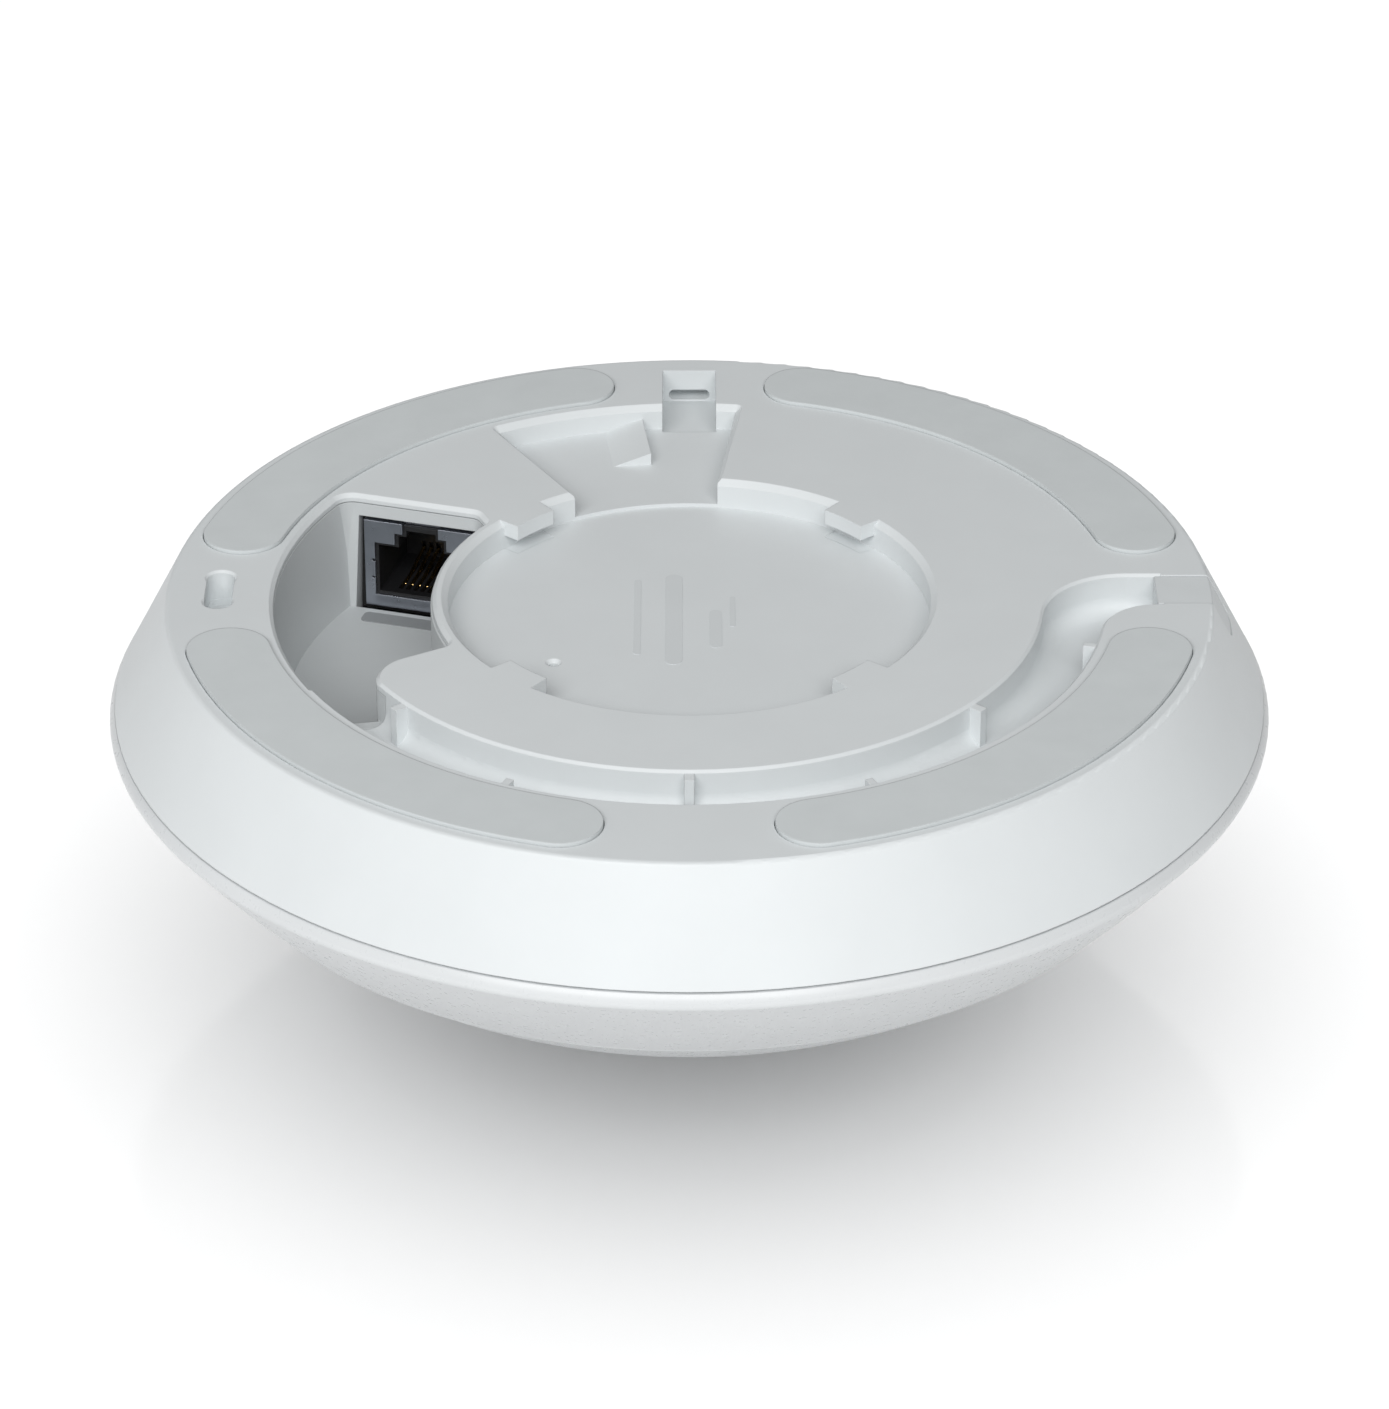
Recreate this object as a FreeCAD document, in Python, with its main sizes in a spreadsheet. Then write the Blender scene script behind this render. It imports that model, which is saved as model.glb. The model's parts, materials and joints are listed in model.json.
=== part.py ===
"""Ceiling network camera, back upward: a round white housing with a bayonet recess, a jack pocket and a
cable channel in its back, rubber pads, a powered network jack, and a lens behind a window in its front.

Units are millimetres. The origin is the centre of the back face, +Z points up to the ceiling, and the
lens looks along -Z. Angles run counter-clockwise from +X, in degrees.
"""
import FreeCAD, Part
import itertools
import math
import os
import Sketcher
from FreeCAD import Placement, Rotation, Vector

SIZES = {
    # Outer form: radii and depths below the back face
    "corner_radius": 67.2,
    "edge_tangent": 0.42,
    "flank_angle": 27.4,
    "seam_radius": 74.3,
    "seam_depth": 13.7,
    "seam_gap": 0.25,
    "seam_groove": 0.9,
    "rim_radius": 74.98,
    "rim_depth": 15.3,
    "rim_low_radius": 74.6,
    "rim_low_depth": 16.25,
    "front_edge_radius": 63.3,
    "front_edge_depth": 29.1,
    "apex_depth": 51.5,
    "dome_curve": 106.0,
    "cover_curve": 110.0,
    "wall": 2.3,
    "plate": 2.2,
    # Bayonet recess in the middle of the back
    "recess_radius": 31.1,
    "recess_depth": 4.0,
    "recess_chamfer": 0.8,
    "recess_wall": 1.3,
    "lug_radius": 28.75,
    "lug_thick": 2.1,
    "lug_sweep": 13.0,
    "lug_core_depth": 0.12,
    # Latch sector, ramp and notch
    "sector_start": 83.1,
    "sector_sweep": 36.0,
    "sector_radius": 53.0,
    "sector_depth": 3.5,
    "sector_chamfer": 0.8,
    "ramp_radius": 42.6,
    "ramp_angle": 96.9,
    "ramp_width": 5.15,
    "ramp_rise": 1.7,
    "notch_half": 3.65,
    "notch_end": 63.7,
    "notch_depth": 4.65,
    "notch_slot_half": 2.8,
    "notch_slot_height": 1.5,
    "notch_slot_depth": 2.6,
    # Jack pocket
    "pocket_inner": 33.05,
    "pocket_outer": 53.5,
    "pocket_floor_radius": 52.5,
    "pocket_depth": 16.5,
    "pocket_end_angle": 208.0,
    "pocket_wall": 1.6,
    "tray_inner": 33.3,
    "tray_top": 1.25,
    "lip": 1.1,
    "lip_bevel": 0.5,
    "wall_turn": -16.6,
    "wall_lean": 0.85,
    # Cable channel and exit
    "channel_inner": 45.6,
    "channel_outer": 53.3,
    "channel_depth": 5.5,
    "channel_fillet": 2.2,
    "channel_bevel": 0.35,
    "rib_width": 1.2,
    "rib_long": 1.7,
    "inner_bend": 11.3,
    "outer_bend": 7.6,
    "exit_low": -3.0,
    "exit_high": 4.6,
    "plug_inner": 60.0,
    "plug_high": 4.5,
    "plug_fit": 0.12,
    "plug_round": 1.8,
    "plug_drop": 0.15,
    # Pads and small openings
    "pad_radius": 60.3,
    "pad_half": 5.3,
    "pad_sweep": 60.0,
    "pad_proud": 0.5,
    "pad_recess": 0.8,
    "pad_fit": 0.12,
    "tether_x": -60.5,
    "tether_y": 0.8,
    "tether_half": 1.8,
    "tether_long": 9.9,
    "tether_depth": 4.1,
    "pin_x": -17.3,
    "pin_y": -11.4,
    "pin_radius": 0.6,
    "pin_mouth": 1.05,
    # Jack
    "jack_width": 15.75,
    "jack_high": 12.8,
    "jack_deep": 13.4,
    "jack_top": 3.475,
    "jack_set_back": -0.2,
    "jack_sheet": 0.3,
    "jack_guide_gap": 0.45,
    "contact_pitch": 1.016,
    # Fasteners
    "screw_head": 2.6,
    "screw_head_high": 1.8,
    "screw_shank": 1.48,
    "screw_hole": 1.5,
    "boss_radius": 3.3,
    # Boards and what is on them
    "board_top": 16.3,
    "board_thick": 1.6,
    "board_radius": 56.0,
    "spreader_top": 20.3,
    "spreader_thick": 2.0,
    "spreader_radius": 47.0,
    "sensor_top": 26.3,
    "sensor_thick": 1.2,
    # Front: ring, cap and lens
    "cover_inner": 44.5,
    "ring_outer": 44.35,
    "ring_inner": 42.05,
    "ring_set_back": 0.35,
    "cap_radius": 41.9,
    "cap_thick": 2.2,
    "window_radius": 10.9,
    "window_thick": 1.8,
    "mic_radius": 57.0,
    "mic_hole": 0.55,
}
OVER = 2.0  # how far a cutting solid reaches past the face that it opens


class Dim:
    """A size: its number, and the sheet expression that drives it."""

    def __init__(self, value, text=None):
        self.value = float(value)
        self.text = text if text is not None else repr(float(value))

    def join(self, sign, other, value):
        return Dim(value, f"({self.text} {sign} {dim(other).text})")

    def __add__(self, other):
        return self.join("+", other, self.value + dim(other).value)

    def __sub__(self, other):
        return self.join("-", other, self.value - dim(other).value)

    def __mul__(self, other):
        return self.join("*", other, self.value * dim(other).value)

    def __truediv__(self, other):
        return self.join("/", other, self.value / dim(other).value)

    def __neg__(self):
        return Dim(-self.value, f"(0 - {self.text})")

    def __radd__(self, other):
        return dim(other) + self

    def __rsub__(self, other):
        return dim(other) - self

    def __rmul__(self, other):
        return dim(other) * self


def dim(number):
    return number if isinstance(number, Dim) else Dim(number)


def sine(angle):
    angle = dim(angle)
    return Dim(math.sin(math.radians(angle.value)), f"sin({angle.text})")


def cosine(angle):
    angle = dim(angle)
    return Dim(math.cos(math.radians(angle.value)), f"cos({angle.text})")


def polar(radius, angle):
    """The point at this radius and angle."""
    return radius * cosine(angle), radius * sine(angle)


def root(dimension):
    dimension = dim(dimension)
    return Dim(math.sqrt(dimension.value), f"sqrt({dimension.text})")


doc = FreeCAD.newDocument("ceiling_camera")


class Sheet:
    """The driving dimensions: one aliased cell each, read here as attributes."""

    def __init__(self, sizes):
        sheet = doc.addObject("Spreadsheet::Sheet", "Sizes")
        for row, (alias, value) in enumerate(sizes.items(), start=1):
            sheet.set(f"A{row}", alias)
            sheet.set(f"B{row}", str(value))
            sheet.setAlias(f"B{row}", alias)
            setattr(self, alias, Dim(value, f"Sizes.{alias}"))


S = Sheet(SIZES)
doc.recompute()


# ---------------------------------------------------------------- primitives

def bind(thing, **sizes):
    """Drive properties from the sheet."""
    for name, size in sizes.items():
        thing.setExpression(name, dim(size).text)


def place(thing, x=0, y=0, z=0, turn=0):
    """Drive a placement from the sheet; turn is about Z, in degrees."""
    for axis, size in zip("xyz", (x, y, z)):
        thing.setExpression(f"Placement.Base.{axis}", dim(size).text)
    thing.setExpression("Placement.Rotation.Angle", dim(turn).text)
    return thing


def cylinder(name, radius, high, x=0, y=0, z=0, start=0, sweep=360):
    solid = doc.addObject("Part::Cylinder", name)
    bind(solid, Radius=radius, Height=high, Angle=sweep)
    return place(solid, x, y, z, start)


def rod(name, radius, long, tilt):
    """A round bar from the origin, tilted about X away from +Z."""
    solid = doc.addObject("Part::Cylinder", name)
    bind(solid, Radius=radius, Height=long)
    solid.Placement = Placement(Vector(0, 0, 0), Rotation(Vector(1, 0, 0), tilt))
    return solid


def cone(name, low, top, high, x=0, y=0, z=0, start=0, sweep=360):
    solid = doc.addObject("Part::Cone", name)
    bind(solid, Radius1=low, Radius2=top, Height=high, Angle=sweep)
    return place(solid, x, y, z, start)


def box(name, long, wide, high, x=0, y=0, z=0, turn=0):
    """A box from its low corner."""
    solid = doc.addObject("Part::Box", name)
    bind(solid, Length=long, Width=wide, Height=high)
    return place(solid, x, y, z, turn)


def block(name, long, wide, high, x=0, y=0, z=0):
    """A box centred on x, y and standing on z."""
    return box(name, long, wide, high, x - dim(long) / 2, y - dim(wide) / 2, z)


def cut(name, base, *tools):
    result = doc.addObject("Part::Cut", name)
    result.Base = base
    result.Tool = tools[0] if len(tools) == 1 else fuse(f"{name}_tools", *tools)
    return result


def fuse(name, *solids):
    result = doc.addObject("Part::MultiFuse", name)
    result.Shapes = list(solids)
    return result


def common(name, *solids):
    result = doc.addObject("Part::MultiCommon", name)
    result.Shapes = list(solids)
    return result


def group(name, *solids):
    """Identical pieces that share a node, each still its own solid."""
    result = doc.addObject("Part::Compound", name)
    result.Links = list(solids)
    return result


def ring(name, outer, inner, high, z=0, start=0, sweep=360):
    """A ring, or a sector of one."""
    body = cylinder(f"{name}_outer", outer, high, z=z, start=start, sweep=sweep)
    hole = cylinder(f"{name}_inner", inner, dim(high) + 2 * OVER, z=z - dim(OVER))
    return cut(name, body, hole)


def arc_slot(name, radius, half, start, sweep, high, z):
    """A slot bent round the axis, with round ends."""
    bend = ring(f"{name}_bend", radius + half, radius - half, high, z, start, sweep)
    ends = [
        cylinder(f"{name}_end{i}", half, high, *polar(radius, angle), z)
        for i, angle in enumerate((start, start + sweep))
    ]
    return fuse(name, bend, *ends)


# ------------------------------------------------------------------ sketches

def draw(sketch, corners):
    """Draw a closed outline and hold it with constraints bound to the sheet.

    A corner is (x, y), or (x, y, radius) where the edge that arrives there is an arc: a positive
    radius turns it counter-clockwise, a negative one clockwise.
    """
    points = [Vector(dim(c[0]).value, dim(c[1]).value, 0) for c in corners]
    edges = []
    for i, corner in enumerate(corners):
        first, last = points[i - 1], points[i]
        if len(corner) == 2:
            edges.append(sketch.addGeometry(Part.LineSegment(first, last), False))
            continue
        radius = dim(corner[2]).value
        chord = last - first
        bulge = abs(radius) - math.sqrt(radius ** 2 - (chord.Length / 2) ** 2)
        side = Vector(chord.y, -chord.x, 0).normalize() * math.copysign(bulge, radius)
        edges.append(sketch.addGeometry(Part.Arc(first, (first + last) * 0.5 + side, last), False))
    for i, corner in enumerate(corners):
        edge, following = edges[i], edges[(i + 1) % len(edges)]
        end = nearest_end(sketch, edge, points[i])
        begin = nearest_end(sketch, following, points[i])
        sketch.addConstraint(Sketcher.Constraint("Coincident", edge, end, following, begin))
        hold(sketch, "DistanceX", edge, end, corner[0])
        hold(sketch, "DistanceY", edge, end, corner[1])
        if len(corner) == 3:
            size = corner[2] if dim(corner[2]).value > 0 else -dim(corner[2])
            number = sketch.addConstraint(Sketcher.Constraint("Radius", edge, dim(size).value))
            sketch.setExpression(f"Constraints[{number}]", dim(size).text)
    return sketch


def nearest_end(sketch, edge, point):
    return 1 if (sketch.getPoint(edge, 1) - point).Length < (sketch.getPoint(edge, 2) - point).Length else 2


def hold(sketch, kind, edge, end, size):
    """Fix one coordinate of an edge's end."""
    size = dim(size)
    if size.value == 0.0:
        axis = -2 if kind == "DistanceX" else -1
        sketch.addConstraint(Sketcher.Constraint("PointOnObject", edge, end, axis))
        return
    number = sketch.addConstraint(Sketcher.Constraint(kind, edge, end, size.value))
    sketch.setExpression(f"Constraints[{number}]", size.text)


def plane(body, role):
    return next(f for f in body.Origin.OriginFeatures if f.Role == role)


def revolved(name, corners):
    """A body turned about Z from its half section, whose corners are (radius, z)."""
    body = doc.addObject("PartDesign::Body", name)
    sketch = body.newObject("Sketcher::SketchObject", f"{name}_section")
    sketch.AttachmentSupport = [(plane(body, "XZ_Plane"), "")]
    sketch.MapMode = "FlatFace"
    draw(sketch, corners)
    turned = body.newObject("PartDesign::Revolution", f"{name}_turned")
    turned.Profile = sketch
    turned.ReferenceAxis = (sketch, ["V_Axis"])
    turned.Angle = 360
    body.Tip = turned
    return body


def outline(name, corners):
    """A flat outline on the back face."""
    return draw(doc.addObject("Sketcher::SketchObject", name), corners)


def prism(name, flat, depth, grow=None, over=OVER, square=False):
    """An outline carried down to a depth, and up past the back face; grow widens it all round."""
    if grow is not None:
        wide = doc.addObject("Part::Offset2D", f"{name}_wide")
        wide.Source = flat
        if square:
            wide.Join = "Intersection"
        bind(wide, Value=grow)
        flat = wide
    solid = doc.addObject("Part::Extrusion", name)
    solid.Base = flat
    solid.Dir = Vector(0, 0, 1)
    solid.Solid = True
    bind(solid, LengthFwd=over, LengthRev=depth)
    return solid


# ------------------------------------------------------------- back housing

QUARTERS = (45, 135, 225, 315)


def flank_radius(depth):
    """Outer radius of the back housing's flank at a depth below the back face."""
    return S.corner_radius + dim(depth) * sine(S.flank_angle) / cosine(S.flank_angle)


def back_shell():
    """The plate and flank, with the edge fillet and the step at the seam."""
    lean, drop = sine(S.flank_angle), cosine(S.flank_angle)
    fillet = S.edge_tangent * (1 + lean) / drop
    skin = S.wall / drop
    under = S.plate
    return revolved("back_shell", [
        (0, 0),
        (S.corner_radius - S.edge_tangent, 0),
        (S.corner_radius + S.edge_tangent * lean, -(S.edge_tangent * drop), -fillet),
        (S.seam_radius, -S.seam_depth),
        (S.seam_radius - S.seam_groove, -S.seam_depth),
        (S.seam_radius - S.seam_groove, -(S.seam_depth + S.seam_gap)),
        (flank_radius(S.seam_depth + S.seam_gap) - skin, -(S.seam_depth + S.seam_gap)),
        (flank_radius(under) - skin, -under),
        (0, -under),
    ])


def pocket_outline(name, inner):
    """The jack pocket in plan: jack wall, outer arc, mouth of the channel, island end, ring wall."""
    wall_left = (-45.8, 27.5)
    corner = 1.86
    turn = S.wall_turn
    before_corner = (wall_left[0] + corner * cosine(turn), wall_left[1] + corner * sine(turn))
    return outline(name, [
        (-27.56, 21.38),
        (-28.7, 22.39, 1.8),
        before_corner,
        (*polar(S.pocket_outer, 151.0), 2.4),
        (*polar(S.pocket_outer, S.pocket_end_angle), S.pocket_outer),
        polar(S.channel_inner + 0.1, 211.4),
        (*polar(dim(40.2), 205.1), -5.7),
        polar(inner + 1.4, 204.35),
        (*polar(inner, 202.0), 1.5),
        (*polar(inner, 144.0), -inner),
    ])


def pocket_body(name, grow, depth, top):
    """The pocket as a solid, its outer side leaning in towards the floor."""
    plan = pocket_outline(f"{name}_plan", S.tray_inner)
    well = prism(f"{name}_well", plan, depth, grow=grow, over=top)
    low, high = S.pocket_floor_radius, S.pocket_outer
    lean = (high - low) / S.pocket_depth
    side = dim(0 if grow is None else grow)
    limit = cone(f"{name}_limit", low + side - lean * 4, high + side + lean * 4, S.pocket_depth + 8,
                 z=-S.pocket_depth - 4)
    return common(name, well, limit)


def bend_start(wall_radius, bend, line):
    """Where a bend leaves a round wall to run on along the line y = line, and where it meets the line.

    The bend is tangent to both, and its centre lies outside the wall.
    """
    reach = wall_radius + bend
    centre_y = line - bend
    centre_x = root(reach * reach - centre_y * centre_y)
    share = wall_radius / reach
    return (centre_x * share, centre_y * share), (centre_x, line)


def channel_outline(name):
    """The cable channel in plan, from the pocket to the exit slot."""
    inner_leave, inner_line = bend_start(S.channel_inner, S.inner_bend, S.exit_high)
    outer_leave, outer_line = bend_start(S.channel_outer, S.outer_bend, S.exit_low)
    exit_end = S.plug_inner + 0.6
    return outline(name, [
        polar(S.channel_outer, 207.0),
        (*outer_leave, S.channel_outer),
        (*outer_line, -S.outer_bend),
        (exit_end, S.exit_low),
        (exit_end, S.exit_high),
        inner_line,
        (*inner_leave, S.inner_bend),
        (*polar(S.channel_inner, 208.4), -S.channel_inner),
    ])


def radial_rib(name, angle, near, far, width):
    """An upright rib across part of the channel, standing on its floor."""
    high = S.channel_depth - S.channel_bevel
    rib = box(name, dim(far) - near, width, high, near, -dim(width) / 2, -S.channel_depth)
    turned = group(f"{name}_turned", rib)
    return place(turned, turn=angle)


def channel_ribs():
    near = S.channel_inner - 1.0
    long_ribs = [radial_rib(f"rib_long{i}", angle, near, S.channel_inner + S.rib_long, S.rib_width)
                 for i, angle in enumerate((218.9, 270.0, 320.7))]
    outer = S.channel_outer
    short_ribs = [radial_rib(f"rib_short{i}", angle, outer - 1.6, outer + 1.0, 1.0)
                  for i, angle in enumerate((245.0, 295.0, 345.3))]
    return long_ribs + short_ribs


def exit_notch(name, fit=0):
    """The notch in the flank for the cable, its floor rounded at the sides."""
    low, high = S.exit_low + fit, S.plug_high - fit
    floor = S.channel_depth - fit
    radius = S.plug_round
    body = doc.addObject("PartDesign::Body", name)
    sketch = body.newObject("Sketcher::SketchObject", f"{name}_section")
    sketch.AttachmentSupport = [(plane(body, "YZ_Plane"), "")]
    sketch.MapMode = "FlatFace"
    draw(sketch, [
        (low, OVER),
        (low, radius - floor),
        (low + radius, -floor, radius),
        (high - radius, -floor),
        (high, radius - floor, radius),
        (high, OVER),
    ])
    pad = body.newObject("PartDesign::Pad", f"{name}_pad")
    pad.Profile = sketch
    bind(pad, Length=20.0)
    body.Tip = pad
    return place(body, x=S.plug_inner + fit)


def latch_sector(name, grow=0, depth=None):
    depth = S.sector_depth if depth is None else depth
    turn = dim(grow) / 40.0 * (180.0 / math.pi)
    return cylinder(name, S.sector_radius + grow, depth + OVER, z=-depth,
                    start=S.sector_start - turn, sweep=S.sector_sweep + turn * 2)


def sector_chamfer():
    """The bevel round the sector's outer arc and its two sides, its corners rounded."""
    size = S.sector_chamfer
    turn = size / 50.0 * (180.0 / math.pi)
    wide = cylinder("sector_bevel_raw", S.sector_radius + size, size + OVER, z=-size,
                    start=S.sector_start - turn, sweep=S.sector_sweep + turn * 2)
    doc.recompute()
    eased = doc.addObject("Part::Fillet", "sector_bevel_eased")
    eased.Base = wide
    corner = size.value + 0.15
    eased.Edges = [(number, corner, corner) for number, edge in enumerate(wide.Shape.Edges, start=1)
                   if edge.BoundBox.ZLength > 0.5 and edge.CenterOfMass.Length > 50.0]
    doc.recompute()
    tool = doc.addObject("Part::Chamfer", "sector_bevel")
    tool.Base = eased
    tool.Edges = [(number, size.value, size.value) for number in low_edges(eased.Shape, size.value)]
    return tool


def ramp():
    """The detent ramp on the sector's floor: it rises clockwise and ends in an upright face."""
    wedge = doc.addObject("Part::Wedge", "ramp_wedge")
    long = S.sector_radius - S.ramp_radius + 0.5
    bind(wedge, Xmin=0, Xmax=S.ramp_width, Ymin=0, Ymax=S.ramp_rise, Zmin=0, Zmax=long,
         X2min=S.ramp_width, X2max=S.ramp_width, Z2min=0, Z2max=long)
    wedge.Placement = Placement(Vector(0, S.ramp_radius.value + long.value, 0),
                                Rotation(Vector(1, 0, 0), 90))
    standing = place(group("ramp_standing", wedge), x=-S.ramp_width, z=-S.sector_depth)
    return place(group("ramp", standing), turn=S.ramp_angle - 90)


def notch_parts():
    """The latch notch beyond the sector, and the slot in its far wall."""
    half = S.notch_half
    notch = box("notch", half * 2, S.notch_end - 52.0, S.notch_depth + OVER, -half, 52.0, -S.notch_depth)
    slot_half = S.notch_slot_half
    radius = S.notch_slot_height / 2
    middle = radius + 0.2 - S.notch_depth
    far = S.notch_end + S.notch_slot_depth
    slot = box("notch_slot_bar", (slot_half - radius) * 2, far - 62.0, radius * 2,
               radius - slot_half, 62.0, middle - radius)
    ends = []
    for i, side in enumerate((-1, 1)):
        end = rod(f"notch_slot_end{i}", radius, far - 62.0, -90)
        ends.append(place(group(f"notch_slot_end{i}_set", end), side * (slot_half - radius), 62.0, middle))
    return [notch, slot, *ends]


def tether_slot():
    half, long = S.tether_half, S.tether_long
    depth = S.tether_depth
    bar = box("tether_bar", half * 2, long - half * 2, depth + OVER,
              S.tether_x - half, S.tether_y - long / 2 + half, -depth)
    ends = [cylinder(f"tether_end{i}", half, depth + OVER, S.tether_x,
                     S.tether_y + side * (long / 2 - half), -depth) for i, side in enumerate((-1, 1))]
    mouth = [cone(f"tether_mouth{i}", half, half + 0.6, 0.6, S.tether_x,
                  S.tether_y + side * (long / 2 - half), -0.3) for i, side in enumerate((-1, 1))]
    return [bar, *ends, *mouth]


def bayonet_recess():
    """The round recess less its four lugs, with a bevelled mouth and core pockets under the lugs."""
    well = cylinder("recess_well", S.recess_radius, S.recess_depth + OVER, z=-S.recess_depth)
    size = S.recess_chamfer
    mouth = cone("recess_mouth", S.recess_radius, S.recess_radius + size * 2, size * 2, z=-size)
    lugs = [ring(f"lug{i}", S.recess_radius + 2, S.lug_radius, S.lug_thick + OVER * 2, -S.lug_thick,
                 angle - S.lug_sweep / 2, S.lug_sweep) for i, angle in enumerate(QUARTERS)]
    hollow = cut("recess_hollow", fuse("recess_all", well, mouth), *lugs)
    cores = [ring(f"lug_core{i}", S.recess_radius, S.lug_radius, S.lug_core_depth + 1,
                  -S.recess_depth - S.lug_core_depth, angle - S.lug_sweep / 2, S.lug_sweep)
             for i, angle in enumerate(QUARTERS)]
    return [hollow, *cores]


def screw_spots():
    return [polar(S.pad_radius, angle) for angle in QUARTERS]


BOARD_SPOTS = ((47.0, 17.0), (17.0, 47.5), (-16.9, -36.3), (20.0, -34.7))


def jack_place(thing, along=0.0, back=0.0, z=0.0):
    """Put a piece at the jack's wall: along it from its left end, and back into it."""
    turn = S.wall_turn
    start_x, start_y = dim(-44.8), dim(27.2)
    x = start_x + cosine(turn) * along - sine(turn) * back
    y = start_y + sine(turn) * along + cosine(turn) * back
    return place(thing, x, y, z, turn)


def back_housing():
    """The back half of the case, moulded in one piece."""
    channel_plan = channel_outline("channel_plan")
    wall = S.pocket_wall
    under_face = -0.5
    channel_case = prism("channel_case", channel_plan, S.channel_depth + wall, grow=wall, over=under_face)
    recess_case = cylinder("recess_case", S.recess_radius + S.recess_wall,
                           S.recess_depth + S.recess_wall + under_face, z=-S.recess_depth - S.recess_wall)
    sector_case = common("sector_case_trimmed",
                         latch_sector("sector_case", wall, S.sector_depth + wall),
                         cylinder("sector_case_limit", 80.0, S.sector_depth + wall + under_face,
                                  z=-S.sector_depth - wall))
    notch_case = box("notch_case", S.notch_half * 2 + wall * 2, 18.0, S.notch_depth + wall + under_face,
                     -S.notch_half - wall, 49.0, -S.notch_depth - wall)
    tether_case = block("tether_case", S.tether_half * 2 + 3.0, S.tether_long + 3.0,
                        S.tether_depth + 1.0, S.tether_x, S.tether_y, -S.tether_depth - 1.5)
    screw_bosses = [cylinder(f"screw_boss{i}", S.boss_radius + 0.5, 5.5, x, y, -6.0)
                    for i, (x, y) in enumerate(screw_spots())]
    board_bosses = [cylinder(f"board_boss{i}", 2.6, S.board_top - 1.0, x, y, -S.board_top)
                    for i, (x, y) in enumerate(BOARD_SPOTS)]
    guide = cylinder("pin_guide", 2.2, 8.0, S.pin_x, S.pin_y, -12.5)
    solid = fuse("back_solid", back_shell(), channel_case, recess_case, sector_case,
                 notch_case, tether_case, *screw_bosses, *board_bosses, guide)
    tools = [*pocket_opening(), channel_tool(channel_plan),
             bevel_tool("channel_bevel", channel_plan, S.channel_bevel, skip_ends=True),
             latch_sector("sector_well"), sector_chamfer(), exit_notch("exit_notch"),
             *notch_parts(), *tether_slot(), *bayonet_recess(),
             *pad_recesses(), *screw_holes(), *pin_holes(), board_holes()]
    hollowed = cut("back_hollowed", solid, *tools)
    return fuse("back_housing", hollowed, *channel_ribs(), ramp())


def pocket_opening():
    """The opening over the jack tray, bevelled at the face and wider below the lip."""
    plan = pocket_outline("opening_plan", S.pocket_inner)
    mouth = prism("opening", plan, 10.0)
    below = prism("opening_below", pocket_outline("below_plan", S.tray_inner), 22.0,
                  grow=S.pocket_wall + 0.15, over=-S.lip)
    ring_kept = cylinder("ring_kept", S.recess_radius + S.recess_wall, 30.0, z=-25.0)
    bevel = bevel_tool("opening_bevel", plan, S.lip_bevel)
    return [mouth, bevel, cut("opening_below_kept", below, ring_kept)]


def low_edges(shape, depth, skip_ends=False):
    """Numbers of the edges that lie flat at this depth, without the channel's straight ends if asked."""
    numbers = []
    for number, edge in enumerate(shape.Edges, start=1):
        flat = max(abs(edge.BoundBox.ZMin + depth), abs(edge.BoundBox.ZMax + depth)) < 1e-6
        end_wall = skip_ends and edge.Curve.TypeId == "Part::GeomLine" and edge.Length > 5.0
        if flat and not end_wall:
            numbers.append(number)
    return numbers


def bevel_tool(name, plan, size, skip_ends=False):
    """Cuts a 45 degree bevel along an outline at the back face."""
    raw = prism(f"{name}_raw", plan, size, grow=size, square=skip_ends)
    doc.recompute()
    tool = doc.addObject("Part::Chamfer", name)
    tool.Base = raw
    tool.Edges = [(n, size.value, size.value) for n in low_edges(raw.Shape, size.value, skip_ends)]
    return tool


def channel_tool(plan):
    """The channel with its bottom edges rounded."""
    raw = prism("channel_raw", plan, S.channel_depth)
    doc.recompute()
    rounded = doc.addObject("Part::Fillet", "channel_round")
    rounded.Base = raw
    radius = S.channel_fillet.value
    numbers = low_edges(raw.Shape, S.channel_depth.value, skip_ends=True)
    rounded.Edges = [(number, radius, radius) for number in numbers]
    return rounded


def pad_recesses():
    fit = S.pad_fit
    return [arc_slot(f"pad_recess{i}", S.pad_radius, S.pad_half + fit, angle - S.pad_sweep / 2, S.pad_sweep,
                     S.pad_recess + OVER, -S.pad_recess) for i, angle in enumerate(QUARTERS)]


def screw_holes():
    holes = []
    for i, (x, y) in enumerate(screw_spots()):
        holes.append(cylinder(f"screw_seat{i}", S.screw_head + 0.1, 3.0, x, y, -3.0))
        holes.append(cylinder(f"screw_way{i}", S.screw_hole, 6.0, x, y, -7.0))
    return holes


def pin_holes():
    return [
        cylinder("pin_hole", S.pin_radius, 14.0, S.pin_x, S.pin_y, -13.0),
        cone("pin_mouth", S.pin_radius, S.pin_mouth, 0.45, S.pin_x, S.pin_y, -S.recess_depth - 0.45),
    ]


def board_holes():
    return group("board_holes", *[cylinder(f"board_way{i}", 1.1, 8.0, x, y, -S.board_top - 0.5)
                                  for i, (x, y) in enumerate(BOARD_SPOTS)])


# ------------------------------------------------- pieces set in the back

def mount_pad(number, angle):
    """A soft pad set in its recess and standing proud of the back face."""
    return arc_slot(f"mount_pad_{number}", S.pad_radius, S.pad_half, angle - S.pad_sweep / 2, S.pad_sweep,
                    S.pad_recess + S.pad_proud, -S.pad_recess)


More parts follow.
